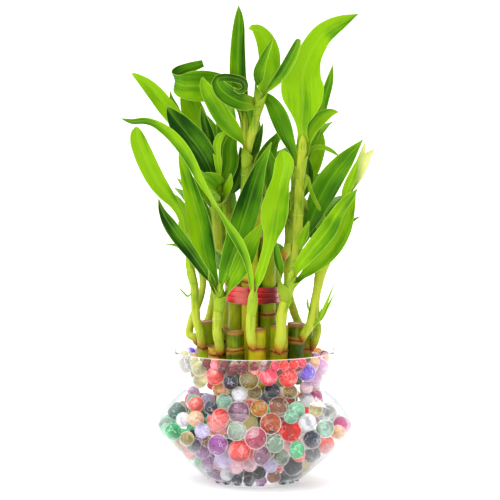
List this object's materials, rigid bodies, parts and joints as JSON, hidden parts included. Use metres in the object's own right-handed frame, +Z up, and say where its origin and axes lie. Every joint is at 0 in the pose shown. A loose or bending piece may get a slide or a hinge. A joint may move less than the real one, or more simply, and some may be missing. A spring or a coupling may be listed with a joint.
{
  "type": "potted plant",
  "caption": "Two-tier lucky bamboo with leafy shoots and a red ribbon, standing in a clear glass bowl of coloured gel beads.",
  "frame": {"origin": "centre of the bowl's flat foot, on the surface it stands on", "axes": "+Z up along the bowl's axis, -Y towards the viewer of the picture, +X to the viewer's right"},
  "size_m": [0.1362, 0.1355, 0.2626],
  "materials": {
    "glass": "gloss",
    "beads": "gloss",
    "cane": "satin",
    "leaf": "satin",
    "ribbon": "gloss"
  },
  "bodies": {
    "root": {"glass_bowl": "glass", "gel_beads": "beads", "cane_outer_1": "cane", "cane_outer_2": "cane", "cane_outer_3": "cane", "cane_outer_4": "cane", "cane_outer_5": "cane", "cane_outer_6": "cane", "cane_outer_7": "cane", "cane_outer_8": "cane", "cane_outer_9": "cane", "cane_outer_10": "cane", "cane_outer_11": "cane", "cane_outer_12": "cane", "cane_outer_13": "cane", "cane_outer_14": "cane", "cane_inner_1": "cane", "cane_inner_2": "cane", "cane_inner_3": "cane", "cane_inner_4": "cane", "cane_inner_5": "cane", "cane_inner_6": "cane", "cane_inner_7": "cane", "ribbon": "ribbon", "shoot_left_front": "leaf", "shoot_left_centre": "leaf", "shoot_centre_front": "leaf", "shoot_right_tall": "leaf", "shoot_right": "leaf", "shoot_far_right": "leaf", "shoot_inner_left": "leaf", "shoot_inner_top": "leaf", "shoot_inner_back_left": "leaf", "shoot_inner_back": "leaf", "shoot_inner_right": "leaf", "shoot_back_right_1": "leaf", "shoot_back_right_2": "leaf", "shoot_back": "leaf", "shoot_back_left_2": "leaf", "shoot_back_left_1": "leaf", "shoot_far_left": "leaf"}
  },
  "joints": []
}
